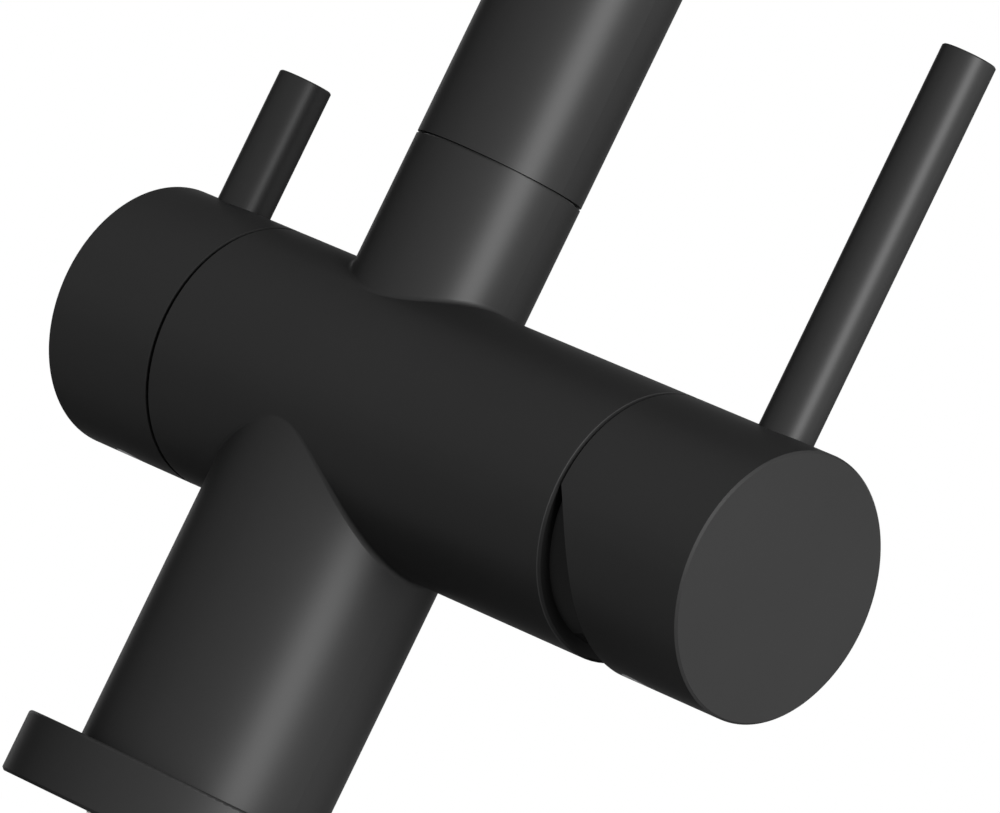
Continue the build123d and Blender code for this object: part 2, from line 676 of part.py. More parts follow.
def filter_cap():
    cup = along_x(BODY_R, FILTER_END, FILTER_RIM)
    cup = chamfer(circle_edges(cup, BODY_R).sort_by(Axis.X)[0], CAP_EDGE)
    cup -= along_x(BODY_R - CAP_WALL, FILTER_END + FILTER_FACE, FILTER_RIM + EPS)
    cup += along_x(HUB_R, FILTER_END + EPS, FILTER_HUB_START) + lever_boss(FILTER_LEVER_X)
    cup -= bar_x(SPINDLE_END - REST_GAP, FILTER_HUB_START + EPS, SQUARE + 2 * SLIP, SQUARE + 2 * SLIP)
    return cup - lever_hole(FILTER_LEVER_X) - screw_way(FILTER_GRUB_X)


# Filter headwork

def headwork_body():
    plug = along_x(HW_THREAD_R, HW_FLANGE_X - EPS, HW_SEAT - HW_SEAL_H)
    nut = Rot(0, -90, 0) * extrude(hexagon(HW_FLATS), HW_FLANGE_H)
    plug += Pos(HW_FLANGE_X, 0, AXIS_Z) * nut
    plug += along_x(HW_NECK_R, HW_NECK_END, HW_FLANGE_X)
    plug -= along_x(HW_CAVITY_R, HW_CAVITY_END, HW_SEAT)
    plug -= along_z(HW_WINDOW_R, AXIS_Z - HW_POCKET, AXIS_Z + HW_POCKET, x=HW_WINDOW_X)
    return plug - along_x(SPINDLE_R + RUN, HW_NECK_END - EPS, HW_CAVITY_END + EPS)


def headwork_seal():
    ring = along_x(HW_DISC_R, HW_SEAT - HW_SEAL_H, HW_SEAT)
    return ring - along_x(HW_SEAL_IN, HW_SEAT - HW_SEAL_H - EPS, HW_SEAT + EPS)


def quarter_ports(left, right):
    """Two quadrant openings of a quarter-turn disc, as round ports."""
    cuts = along_x(WATERWAY_R / 2, left, right, y=-WATERWAY_R)
    return cuts + along_x(WATERWAY_R / 2, left, right, y=WATERWAY_R)


def headwork_fixed_disc():
    right = HW_SEAT - HW_SEAL_H
    disc = along_x(HW_DISC_R, right - HW_DISC_H, right)
    return disc - quarter_ports(right - HW_DISC_H - EPS, right + EPS)


def turning_disc_right():
    return HW_SEAT - HW_SEAL_H - HW_DISC_H - SLIP


def headwork_moving_disc():
    right = turning_disc_right()
    left = right - HW_DISC_H
    disc = along_x(HW_DISC_R - SLIP, left, right)
    disc -= along_x(WATERWAY_R / 2, left - EPS, right + EPS, z=WATERWAY_R)
    disc -= along_x(WATERWAY_R / 2, left - EPS, right + EPS, z=-WATERWAY_R)
    return disc - bar_x(left - EPS, left + TONGUE_H + SLIP, TONGUE_LONG + 2 * SLIP, TONGUE_WIDE + 2 * SLIP)


def headwork_spindle():
    right = turning_disc_right() - HW_DISC_H - SLIP
    shaft = along_x(SPINDLE_R, SQUARE_START, right)
    shaft += along_x(DRIVER_R, right - DRIVER_H, right)
    shaft += along_x(THRUST_R, HW_CAVITY_END + SLOT_PLAY, right)
    shaft += bar_x(right - EPS, right + TONGUE_H, TONGUE_LONG, TONGUE_WIDE)
    shaft += bar_x(SPINDLE_END, SQUARE_START + EPS, SQUARE, SQUARE)
    half = SPINDLE_GROOVE_W / 2
    groove = along_x(SPINDLE_R + EPS, SPINDLE_GROOVE_X - half, SPINDLE_GROOVE_X + half)
    return shaft - (groove - along_x(SPINDLE_GROOVE_R, SPINDLE_GROOVE_X - EPS, SPINDLE_GROOVE_X + EPS))


def spindle_seal():
    tube = (SPINDLE_R - SPINDLE_GROOVE_R) / 2
    return Pos(SPINDLE_GROOVE_X, 0, AXIS_Z) * Rot(0, 90, 0) * Torus(SPINDLE_R - tube, tube)


# Spout

def spout_tube():
    path = spout_path(NECK_TOP + SEAM, DROP_END)
    start = Plane(origin=(0, 0, NECK_TOP + SEAM), z_dir=(0, 0, 1))
    wall = Circle(NECK_R) - Circle(NECK_R - TUBE_WALL)
    return sweep(start * wall, path=path)


def oring_groove(z):
    half = ORING_R + ORING_SIDE
    bottom = NECK_BORE - RUN - 2 * ORING_R
    return along_z(NECK_BORE, z - half, z + half) - along_z(bottom, z - half, z + half)


def spout_stub():
    inside = NECK_R - TUBE_WALL - SLIP
    stub = along_z(NECK_BORE - RUN, STUB_BOTTOM, NECK_TOP + EPS)
    stub += along_z(inside, NECK_TOP + SEAM, STUB_TOP)
    stub -= along_z(STUB_BORE, STUB_BOTTOM - EPS, STUB_TOP + EPS)
    stub -= oring_groove(ORING_LOW) + oring_groove(ORING_HIGH)
    low, high = KEEPER_Z - KEEPER_HALF, KEEPER_Z + KEEPER_HALF
    stub -= along_z(NECK_BORE, low, high) - along_z(KEEPER_DEPTH, low, high)
    web = along_z(SPIDER_R, SPIDER_LOW, SPIDER_HIGH)
    for turn in (0, 120, 240):
        rib = Box(STUB_BORE + EPS, SPIDER_RIB, SPIDER_HIGH - SPIDER_LOW)
        web += Rot(0, 0, turn) * Pos((STUB_BORE + EPS) / 2, 0, (SPIDER_LOW + SPIDER_HIGH) / 2) * rib
    return stub + web - along_z(LINE_R + SLIP, SPIDER_LOW - EPS, SPIDER_HIGH + EPS)


def spout_oring(z):
    return Pos(0, 0, z) * Torus(NECK_BORE - RUN - ORING_R, ORING_R)


def glide_ring():
    low = NECK_TOP - GLIDE_H
    high = NECK_TOP + SEAM - SLIP
    return along_z(GLIDE_OUT, low, high) - along_z(GLIDE_IN, low - EPS, high + EPS)


def keeper_screw():
    near = KEEPER_DEPTH + REST_GAP
    screw = along_y(GRUB_R, near, near + KEEPER_LENGTH, 0, KEEPER_Z - AXIS_Z)
    socket = Rot(-90, 0, 0) * extrude(hexagon(GRUB_HEX), GRUB_HEX_DEEP)
    return screw - Pos(0, near + KEEPER_LENGTH - GRUB_HEX_DEEP, KEEPER_Z) * socket


def filter_line():
    path = spout_path(LINE_BOTTOM, LINE_TOP)
    start = Plane(origin=(0, 0, LINE_BOTTOM), z_dir=(0, 0, 1))
    return sweep(start * (Circle(LINE_R) - Circle(LINE_R - LINE_WALL)), path=path)


def filter_line_seal():
    return Pos(0, 0, NECK_FLOOR - LINE_SEAL_R) * Torus(LINE_R + RUN + LINE_SEAL_R, LINE_SEAL_R)


def at_outlet(shape):
    """Moves a piece from the Z axis to the spout's outlet."""
    return Pos(0, -2 * BEND_R, 0) * shape


def aerator_collar():
    ring = along_z(NECK_R, AERATOR_BOTTOM, DROP_END - SEAM)
    ring += along_z(NECK_R - TUBE_WALL - SLIP, DROP_END - EPS, SPIGOT_TOP)
    ring = chamfer(circle_edges(ring, NECK_R).sort_by(Axis.Z)[0], CAP_EDGE)
    for index in range(COIN_SLOTS // 2):
        bar = Rot(0, 0, 45 + 90 * index) * Box(3 * NECK_R, COIN_SLOT, 2 * COIN_DEEP)
        ring -= Pos(0, 0, AERATOR_BOTTOM) * bar
    ring -= along_z(AERATOR_LIP_R, AERATOR_BOTTOM - EPS, SPIGOT_TOP)
    return at_outlet(ring - along_z(AERATOR_R + SLIP, AERATOR_BOTTOM + AERATOR_LIP, SPIGOT_TOP + EPS))


def jets(count, circle):
    cuts = along_z(JET_R, AERATOR_BOTTOM, AERATOR_TOP + EPS, x=circle)
    for index in range(1, count):
        cuts += Rot(0, 0, 360 * index / count) * along_z(JET_R, AERATOR_BOTTOM, AERATOR_TOP + EPS, x=circle)
    return cuts


def aerator_insert():
    disc = along_z(AERATOR_R, AERATOR_BOTTOM + AERATOR_LIP, AERATOR_TOP)
    disc -= along_z(NOZZLE_R + SLIP, AERATOR_BOTTOM, AERATOR_TOP + EPS)
    return at_outlet(disc - jets(JETS_IN, JETS_IN_CIRCLE) - jets(JETS_OUT, JETS_OUT_CIRCLE))


def aerator_seal():
    high = AERATOR_TOP + NOZZLE_HEAD_H
    return at_outlet(along_z(AERATOR_R, AERATOR_TOP, high) - along_z(WASHER_IN, AERATOR_TOP - EPS, high + EPS))


def filter_nozzle():
    top = AERATOR_TOP + NOZZLE_HEAD_H
    nozzle = along_z(NOZZLE_R, NOZZLE_BOTTOM, top) + along_z(NOZZLE_HEAD_R, AERATOR_TOP, top)
    nozzle = chamfer(circle_edges(nozzle, NOZZLE_R).sort_by(Axis.Z)[0], CAP_EDGE)
    nozzle -= along_z(LINE_R + SLIP, LINE_TOP - SLIP, top + EPS)
    return at_outlet(nozzle - along_z(NOZZLE_BORE, NOZZLE_BOTTOM - EPS, top))


save("base_flange", base_flange())
save("deck_seal", deck_seal())
save("mounting_shank", mounting_shank())
save("clamp_gasket", clamp_ring(-DECK, GASKET_H))
save("clamp_washer", clamp_ring(-DECK - GASKET_H, WASHER_H))
save("mounting_nut", mounting_nut())
save("body_shell", body_shell())
save("hose_manifold", hose_manifold())
save("manifold_gasket", manifold_gasket())
save("manifold_bolt", manifold_bolt())
save("cartridge_base", cartridge_base())
save("cartridge_gasket", cartridge_gasket())
save("cartridge_housing", cartridge_housing())
save("cartridge_nut", cartridge_nut())
save("fixed_disc", fixed_disc())
save("moving_disc", moving_disc())
save("disc_slider", disc_slider())
save("stem_guide", stem_guide())
save("pivot_pin", pivot_pin())
save("mixer_stem", mixer_stem())
save("mixer_cap", mixer_cap())
save("mixer_lever", lever(MIXER_LEVER_X, MIXER_LEVER_TIP))
save("mixer_grub_screw", grub_screw(MIXER_GRUB_X, STEM / 2 + SLIP))
save("mixer_screw_plug", screw_plug(MIXER_GRUB_X))
save("headwork_body", headwork_body())
save("headwork_seal", headwork_seal())
save("headwork_fixed_disc", headwork_fixed_disc())
save("headwork_moving_disc", headwork_moving_disc())
save("headwork_spindle", headwork_spindle())
save("spindle_seal", spindle_seal())
save("filter_cap", filter_cap())
save("filter_lever", lever(FILTER_LEVER_X, FILTER_LEVER_TIP))
save("filter_grub_screw", grub_screw(FILTER_GRUB_X, SQUARE / 2 + SLIP))
save("filter_screw_plug", screw_plug(FILTER_GRUB_X))
save("spout_tube", spout_tube())
save("spout_stub", spout_stub())
save("spout_oring_lower", spout_oring(ORING_LOW))
save("spout_oring_upper", spout_oring(ORING_HIGH))
save("glide_ring", glide_ring())
save("keeper_screw", keeper_screw())
save("filter_line", filter_line())
save("filter_line_seal", filter_line_seal())
save("aerator_collar", aerator_collar())
save("aerator_insert", aerator_insert())
save("aerator_seal", aerator_seal())
save("filter_nozzle", filter_nozzle())
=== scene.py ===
# %% [markdown]
# # A matte black kitchen faucet
# The solids of the faucet arrive already modelled, each at its place. This lesson dresses them: it
# puts a camera where the photographer stood, lights them as a small studio would, gives each
# material a finish worked out with shader nodes, cuts the screw threads that the plain solids leave
# out, and adds two small covers that close its seams.

# %% Load the solids
import json
import math
import bmesh
import bpy
import numpy as np
from mathutils import Matrix, Vector


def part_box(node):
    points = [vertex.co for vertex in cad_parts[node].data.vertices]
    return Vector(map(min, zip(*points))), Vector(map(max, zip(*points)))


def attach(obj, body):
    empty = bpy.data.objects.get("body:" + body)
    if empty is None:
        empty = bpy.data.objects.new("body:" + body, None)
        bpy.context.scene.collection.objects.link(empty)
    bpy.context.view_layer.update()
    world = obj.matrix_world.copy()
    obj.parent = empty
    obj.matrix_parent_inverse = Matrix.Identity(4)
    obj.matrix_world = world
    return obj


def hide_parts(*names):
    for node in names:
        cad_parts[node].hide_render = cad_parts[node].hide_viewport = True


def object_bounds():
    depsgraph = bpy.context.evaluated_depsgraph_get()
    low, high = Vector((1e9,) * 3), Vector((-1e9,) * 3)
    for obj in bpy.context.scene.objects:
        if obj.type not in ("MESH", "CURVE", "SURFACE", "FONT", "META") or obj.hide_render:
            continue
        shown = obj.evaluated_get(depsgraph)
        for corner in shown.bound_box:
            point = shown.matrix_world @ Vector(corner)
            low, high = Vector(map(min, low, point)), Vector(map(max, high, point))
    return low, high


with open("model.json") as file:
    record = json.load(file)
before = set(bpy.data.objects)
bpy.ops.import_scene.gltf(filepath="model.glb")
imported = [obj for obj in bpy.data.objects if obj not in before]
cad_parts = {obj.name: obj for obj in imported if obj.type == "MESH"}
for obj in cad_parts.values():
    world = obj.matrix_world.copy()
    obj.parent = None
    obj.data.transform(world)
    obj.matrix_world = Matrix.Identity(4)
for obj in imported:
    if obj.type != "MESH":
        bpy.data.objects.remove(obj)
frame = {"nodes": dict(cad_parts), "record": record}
cad_box = [list(corner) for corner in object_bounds()]
scene = bpy.context.scene
print("nodes", len(frame["nodes"]), "box", cad_box)

# %% [markdown]
# ## The camera
# The photograph was fitted with one pinhole camera: 1.8 m away, a little below the handles, and
# rolled by 26 degrees, so that the column leans. A camera could be aimed with a constraint. Here its
# three axes are written out from the azimuth, the elevation and the roll, which shows what the
# angles mean and leaves no tilt to chance.

# %% Camera
AZIMUTH, ELEVATION, ROLL = (math.radians(a) for a in (42.51, -3.008, 25.855))
STAND = [1.25333, -1.34066, -0.00242]
FOCAL_PIXELS, PHOTO_PIXELS = 10613.80, 1000
SENSOR = 36.0
shrink = math.cos(ELEVATION)
back = np.array([math.sin(AZIMUTH) * shrink, -math.cos(AZIMUTH) * shrink, math.sin(ELEVATION)])
level = np.array([math.cos(AZIMUTH), math.sin(AZIMUTH), 0.0])
above = np.cross(back, level)
right = level * math.cos(ROLL) + above * math.sin(ROLL)
up = above * math.cos(ROLL) - level * math.sin(ROLL)
placing = np.eye(4)
placing[:3, :4] = np.stack([right, up, back, STAND], axis=1)
camera = bpy.data.objects.new("camera", bpy.data.cameras.new("camera"))
camera.data.sensor_width = SENSOR
camera.data.lens = SENSOR * FOCAL_PIXELS / PHOTO_PIXELS
camera.data.clip_end = 50.0
camera.matrix_world = Matrix(placing.tolist())
scene.collection.objects.link(camera)
scene.camera = camera
scene.view_settings.view_transform = "Standard"
print("lens", round(camera.data.lens, 1), "mm")

# %% [markdown]
# ## Shader maths in Python
# A finish is a small sum: noise times strength, one minus a mask. Drawn by hand, such a sum is a
# tangle of Math nodes. This class wraps one output of a node, so that plain arithmetic on it adds
# the nodes, and one method adds every other kind of node: its settings first, then its sockets.

# %% Socket class
class Flow:
    """One output socket. Arithmetic on it adds Math nodes to the same tree."""

    def __init__(self, tree, socket=None):
        self.tree, self.socket = tree, socket

    def add(self, kind, settings=(), sockets=(), out=0):
        """Adds a node: its type, its settings, then its sockets' values or links."""
        node = self.tree.nodes.new(kind)
        for name, value in dict(settings).items():
            setattr(node, name, value)
        for key, value in dict(sockets).items():
            if isinstance(value, Flow):
                self.tree.links.new(value.socket, node.inputs[key])
            else:
                node.inputs[key].default_value = value
        return Flow(self.tree, node.outputs[out] if node.outputs else None)

    def math(self, operation, a, b=0.0):
        return self.add("ShaderNodeMath", {"operation": operation}, {0: a, 1: b})

    def __add__(self, other):
        return self.math("ADD", self, other)

    def __radd__(self, other):
        return self.math("ADD", other, self)

    def __sub__(self, other):
        return self.math("SUBTRACT", self, other)

    def __rsub__(self, other):
        return self.math("SUBTRACT", other, self)

    def __mul__(self, other):
        return self.math("MULTIPLY", self, other)

    def __rmul__(self, other):
        return self.math("MULTIPLY", other, self)

    def between(self, dark, light):
        """Mixes two colours, with this value as the factor."""
        sockets = {0: self, 6: (*dark, 1.0), 7: (*light, 1.0)}
        return self.add("ShaderNodeMix", {"data_type": "RGBA"}, sockets, out=2)


print("operators ready")

# %% [markdown]
# ## The white studio
# The photograph has a plain white ground. A bright world would do that, but it would also wash out
# the black coat. Here the world asks which kind of ray is looking: the camera, a reflection or glass
# sees white, while the light that falls on the faucet from all round stays dim.

# %% World
WORLD_LIGHT = 0.02
world = bpy.data.worlds.new("studio")
world.use_nodes = True
world.node_tree.nodes.clear()
scene.world = world


def white_rays(flow):
    """1 where a camera, glossy or transmission ray looks, 0 for the rays that light things."""
    path = flow.add("ShaderNodeLightPath", out="Is Camera Ray")
    outputs = path.socket.node.outputs
    glossy = Flow(flow.tree, outputs["Is Glossy Ray"])
    through = Flow(flow.tree, outputs["Is Transmission Ray"])
    return path.math("MINIMUM", path + glossy + through, 1.0)


air = Flow(world.node_tree)
dim = air.add("ShaderNodeBackground", (), {"Color": (1, 1, 1, 1), "Strength": WORLD_LIGHT})
bright = air.add("ShaderNodeBackground", (), {"Color": (1, 1, 1, 1), "Strength": 1.0})
seen = air.add("ShaderNodeMixShader", (), {0: white_rays(air), 1: dim, 2: bright})
air.add("ShaderNodeOutputWorld", (), {"Surface": seen})
print("world light", WORLD_LIGHT)

# %% [markdown]
# ## The floor
# A plain pale sheet lies under the lowest point of the part. A white floor could simply be lit until
# it is white, but it would throw that light up under the black body. Here the floor is a mid grey
# that glows for the same rays that see the white world, less near the faucet than far away: the
# dimmer glow round the faucet is a painted shadow, which also darkens the floor that the faucet's
# underside reflects, while the lamps' own shadow stays, and no horizon shows. From below the sheet
# is clear, so that the underside can be looked at.

# %% Floor
FLOOR_GREY, FLOOR_HALF = 0.3, 30.0
GLOW = {"From Min": 0.2, "From Max": 1.6, "To Min": 0.45, "To Max": 1.0}


def start_finish(name):
    """An empty material, its tree and the piece's own coordinates in metres."""
    finish = bpy.data.materials.new(name)
    finish.use_nodes = True
    finish.node_tree.nodes.clear()
    flow = Flow(finish.node_tree)
    return finish, flow, flow.add("ShaderNodeTexCoord", out="Object")


def grid_mesh(name, points):
    """A mesh of quads between neighbours of a grid of points (rows u, columns v)."""
    rows, columns = points.shape[:2]
    at = np.arange(rows * columns).reshape(rows, columns)
    faces = np.stack([at[:-1, :-1], at[1:, :-1], at[1:, 1:], at[:-1, 1:]], axis=-1)
    mesh = bpy.data.meshes.new(name)
    mesh.from_pydata(points.reshape(-1, 3).tolist(), [], faces.reshape(-1, 4).tolist())
    return mesh


ground, flow, place = start_finish("pale_floor")
away = flow.add("ShaderNodeVectorMath", {"operation": "LENGTH"}, {0: place}, out="Value")
# the glow rises from 0.45 within 0.2 m of the middle to 1 beyond 1.6 m: a painted shadow round the
# faucet
glow_with_painted_shadow = flow.add("ShaderNodeMapRange", {"interpolation_type": "SMOOTHSTEP"}, {"Value": away, **GLOW})
sheet = flow.add("ShaderNodeBsdfPrincipled", (), {
    "Base Color": (FLOOR_GREY, FLOOR_GREY, FLOOR_GREY, 1), "Roughness": 0.9,
    "Emission Color": glow_with_painted_shadow * white_rays(flow), "Emission Strength": 1.0})
clear = flow.add("ShaderNodeBsdfTransparent")
under = flow.add("ShaderNodeNewGeometry", out="Backfacing")
both = flow.add("ShaderNodeMixShader", (), {0: under, 1: sheet, 2: clear})
flow.add("ShaderNodeOutputMaterial", (), {"Surface": both})
span = np.linspace(-FLOOR_HALF, FLOOR_HALF, 3)
plane = np.stack(np.meshgrid(span, span, [cad_box[0][2]], indexing="ij"), axis=-1)[:, :, 0]
floor = bpy.data.objects.new("floor", grid_mesh("floor", plane))
floor.data.materials.append(ground)
scene.collection.objects.link(floor)
facing = [round(v) for v in floor.data.polygons[0].normal]
print("floor at", round(cad_box[0][2], 4), "m, facing", facing)

# %% [markdown]
# ## The lamps
# The bright band down the column, the neck and the lever is one tall lamp, 35 degrees to the right
# of the camera. Two weaker ones stand behind, where the photograph hardly sees their light: they
# show the left side and the back to anyone who walks round. Lamps could be pointed with
# constraints; here each is one row of numbers, easy to compare and change.

# %% Lamps
AIM = Vector((0.02, -0.02, 0.10))
LAMP_DISTANCE, LAMP_TALL = 2.05, 1.33


def softbox(name, azimuth, elevation, wide, watts):
    """A rectangular lamp on a sphere round the faucet; azimuth 0 is the front, 90 the mixer side."""
    a, e = math.radians(azimuth), math.radians(elevation)
    direction = Vector((math.sin(a) * math.cos(e), -math.cos(a) * math.cos(e), math.sin(e)))
    lamp = bpy.data.objects.new(name, bpy.data.lights.new(name, "AREA"))
    lamp.data.shape = "RECTANGLE"
    lamp.data.size, lamp.data.size_y, lamp.data.energy = wide, LAMP_TALL, watts
    lamp.location = AIM + direction * LAMP_DISTANCE
    lamp.rotation_mode = "QUATERNION"
    lamp.rotation_quaternion = direction.to_track_quat("Z", "Y")
    lamp.visible_camera = False
    scene.collection.objects.link(lamp)


softbox("band_lamp", 77, 13.5, 1.0, 62)
softbox("left_lamp", -112, 14.5, 0.6, 12)
softbox("back_lamp", 200, 30, 0.8, 24)

# %% [markdown]
# ## The matte black coat
# A baked black coat on brass: nearly black, with a soft sheen and a fine orange-peel skin. A plain
# glossy paint would draw a white rim round every outline in a white room, and the real coat has
# none. So part of the coat reflects as a very dark metal does, with a dark tint for its edges. An
# image could carry the skin, but noise needs no unwrapping: grains of a third of a millimetre lift
# the surface, and broad clouds vary the sheen as a hand-held gun does. On the end of the body behind
# the mixer cap, past a plane, the tone is halved: this is painted shade for the cap's shadow in the
# seam.

# %% Black coat
GRAIN_SCALE, CLOUD_SCALE = 2800.0, 38.0
METAL_SHARE, EDGE_TINT = 0.46, (0.34, 0.34, 0.34, 1)
SEAM_SHADE_DROP, SEAM_SHADE_BAND = 0.5, 0.00038


def noise(flow, place, scale, detail, rough=0.5):
    """Fractal noise between 0 and 1, read at the point times the scale."""
    sockets = {"Vector": place, "Scale": scale, "Detail": detail, "Roughness": rough}
    return flow.add("ShaderNodeTexNoise", (), sockets)


def close_finish(flow, sockets):
    """Ends a tree in one Principled shader with these sockets."""
    shader = flow.add("ShaderNodeBsdfPrincipled", (), sockets)
    flow.add("ShaderNodeOutputMaterial", (), {"Surface": shader})


def coat(name, dark, light, seam=None):
    """Clouds and grains of noise, summed, set the grey tone and the roughness; the grains alone lift
    the skin. Where X is past the seam, the tone drops: painted shade for the mixer cap's shadow on
    the body's end."""
    paint, flow, place = start_finish(name)
    grain = noise(flow, place, GRAIN_SCALE, 2.0)
    cloud = noise(flow, place, CLOUD_SCALE, 3.0)
    skin = flow.add("ShaderNodeBump", (), {"Strength": 0.10, "Distance": 0.00004, "Height": grain})
    tone = dark + (light - dark) * (0.25 * grain + 0.75 * cloud)
    if seam is not None:
        along = flow.add("ShaderNodeSeparateXYZ", (), {0: place}, out="X")
        # past the plane the tone is halved: painted shade for the mixer cap's shadow on the body's
        # end
        tone = tone * (1.0 - SEAM_SHADE_DROP * along.math("GREATER_THAN", along, seam))
    close_finish(flow, {"Base Color": tone, "Roughness": 0.40 + 0.03 * cloud + 0.01 * grain,
                        "Metallic": METAL_SHARE, "Specular IOR Level": 0.0,
                        "Specular Tint": EDGE_TINT, "Normal": skin})
    return paint


BLACK = coat("matte_black_coat", 0.036, 0.0425)
# a copy of the black coat at about 0.62 of its tone: painted shade for the dome in the gap under the
# mixer cap's rim
SHADED_BLACK = coat("black_coat_painted_shade", 0.0225, 0.0265)
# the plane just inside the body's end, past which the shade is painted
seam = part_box("body_shell")[1].x - SEAM_SHADE_BAND
BODY = coat("matte_black_body_coat", 0.036, 0.0425, seam)
print("coats", BLACK.name, SHADED_BLACK.name, BODY.name, "seam from", round(1000 * seam, 2), "mm")

# %% [markdown]
# ## The metals, rubber, plastics and ceramic inside
# Turned brass carries fine rings from the lathe, rolled steel a brushed grain, rubber a dull bloom,
# moulded plastic a faint flow, and ceramic discs a lapped, almost even white. Each could have its
# own recipe. They share one: a noise, stretched along the way the tool or the mould ran, moves the
# tone and the roughness and lifts a thin skin.

# %% Inner finishes
def inner(name, dark, light, rough, spread, metal, grain, stretch, lift):
    """A finish from one noise, stretched along an axis: it mixes two tones, varies the roughness
    (rough plus spread times the noise) and lifts a skin."""
    finish, flow, place = start_finish(name)
    pulled = flow.add("ShaderNodeMapping", (), {"Vector": place, "Scale": stretch})
    marks = noise(flow, pulled, grain, 3.0, 0.55)
    skin = flow.add("ShaderNodeBump", (), {"Strength": 0.2, "Distance": lift, "Height": marks})
    close_finish(flow, {"Base Color": marks.between(dark, light), "Metallic": metal,
                        "Roughness": rough + spread * marks, "Normal": skin})
    return finish


BRASS = inner("turned_brass", (0.50, 0.34, 0.13), (0.70, 0.52, 0.25),
              0.24, 0.18, 1.0, 300.0, (8, 1, 1), 0.00002)
PLATED = inner("nickel_plated_brass", (0.36, 0.35, 0.32), (0.48, 0.47, 0.44),
               0.34, 0.14, 1.0, 300.0, (1, 1, 8), 0.00001)
BLACKENED = inner("blackened_brass", (0.012, 0.011, 0.010), (0.022, 0.020, 0.018),
                  0.42, 0.16, 0.6, 300.0, (8, 1, 1), 0.00002)
STEEL = inner("brushed_steel", (0.46, 0.46, 0.47), (0.66, 0.66, 0.66),
              0.24, 0.2, 1.0, 400.0, (1, 9, 1), 0.00002)
RUBBER = inner("nitrile_rubber", (0.018, 0.018, 0.018), (0.035, 0.035, 0.034),
               0.62, 0.2, 0.0, 900.0, (1, 1, 1), 0.00004)
CERAMIC = inner("lapped_ceramic", (0.76, 0.74, 0.70), (0.84, 0.82, 0.79),
                0.12, 0.1, 0.0, 150.0, (1, 1, 1), 0.00001)
WHITE = inner("white_acetal", (0.66, 0.66, 0.63), (0.75, 0.75, 0.73),
              0.38, 0.14, 0.0, 220.0, (1, 1, 3), 0.00002)
DARK = inner("black_acetal", (0.014, 0.014, 0.014), (0.026, 0.026, 0.026),
             0.40, 0.16, 0.0, 260.0, (1, 1, 3), 0.00002)
print("materials so far", len(bpy.data.materials))

# %% [markdown]
# ## Which finish goes where
# Every solid names the material it is made of. A list of all the pieces could be typed in, but
# reading the names keeps the finishes right when a piece is added. Two pieces have a finish of their
# own: the body, with painted shade on its end behind the mixer cap, and the cartridge's brass nut
# behind the gap under the handle's rim, which is blackened, as the photograph shows nothing bright
# there.

# %% Dress the solids
BY_SLOT = {"matte_black": BLACK, "brass": BRASS, "steel": STEEL, "rubber": RUBBER,
           "ceramic": CERAMIC, "white_plastic": WHITE, "dark_plastic": DARK}
OWN = {"cartridge_nut": BLACKENED, "body_shell": BODY}
for part in frame["record"]["subparts"]:
    solid = frame["nodes"][part["node"]].data
    solid.materials.clear()
    solid.materials.append(OWN.get(part["node"], BY_SLOT[part["material_slot"]]))

# %% [markdown]
# ## A thread from one formula
# A screw thread is a zigzag profile carried along a helix. A bump map could fake it, but it would
# vanish at the outline, and a Screw modifier would leave its ends ragged. Here the grid itself runs
# along the helix: its rows are the edges of the roots and crests, so that four rows make one clean
# turn, and rows that run past an end are pressed flat against it.

# %% Thread formula
PITCH = 0.0015
DEPTH = 0.54 * PITCH
ROWS = np.array([0.0, 0.25, 0.5625, 0.6875])
SHARES = [0.0, 0.0, 1.0, 1.0]
COLUMNS = 96
around = np.linspace(0.0, 2 * math.pi, COLUMNS + 1)


def thread_rows(low, high):
    """Heights and thread shares along the helix: each turn has a row at both edges of the root and
    of the crest, and a row climbs by one pitch while it goes round once. The share is 0 at the root
    and 1 at the crest."""
    turns = np.arange(math.floor(low / PITCH) - 2, math.ceil(high / PITCH) + 2)
    height = (turns[:, None] + ROWS).ravel()
    share = np.tile(SHARES, len(turns))
    climb = np.clip(PITCH * (height[:, None] + around / (2 * math.pi)), low, high)
    return climb, np.repeat(share[:, None], COLUMNS + 1, axis=1)


print("thread", 1000 * PITCH, "mm pitch,", round(1000 * DEPTH, 2), "mm deep")

# %% [markdown]
# ## From rows of points to a piece
# Every new piece here is turned: rows of points, each at a radius and a height, go once round an
# axis, as on a lathe. Blender's Spin could do it, but a grid of numbers can also bend its rows along
# a helix. The grid becomes a mesh, and the rows that coincide, at the seam and at pressed ends, are
# merged, so that the surface is closed.

# %% Turned pieces
MERGE = 1e-7


def turned(radius, height):
    """Points at a radius and a height for each row, carried once round the Z axis."""
    x, y = radius * np.cos(around), radius * np.sin(around)
    return np.stack([x, y, height + 0 * around], axis=-1)


def piece(name, points, finish, body):
    """One object from a grid of points whose coinciding rows are merged; it rides on a body."""
    made = bpy.data.objects.new(name, grid_mesh(name, points))
    scene.collection.objects.link(made)
    made.data.materials.append(finish)
    shape = bmesh.new()
    shape.from_mesh(made.data)
    bmesh.ops.remove_doubles(shape, verts=shape.verts, dist=MERGE)
    bmesh.ops.dissolve_degenerate(shape, dist=MERGE, edges=shape.edges)
    bmesh.ops.recalc_face_normals(shape, faces=shape.faces)
    open_edges = sum(not edge.is_manifold for edge in shape.edges)
    shape.to_mesh(made.data)
    shape.free()
    print(name, "faces", len(made.data.polygons), "open edges", open_edges)
    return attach(made, body)


print("columns round a piece", COLUMNS)

# %% [markdown]
# ## The threaded shank
# Under the deck a plated brass tube with a fine 33 mm thread passes through the worktop, and the
# hoses run inside it. The solid shows it as a plain tube. The thread is cut down from the solid's
# own radius, so it stays inside the solid's box, with a chamfer at both ends and the turned groove
# below the nut.

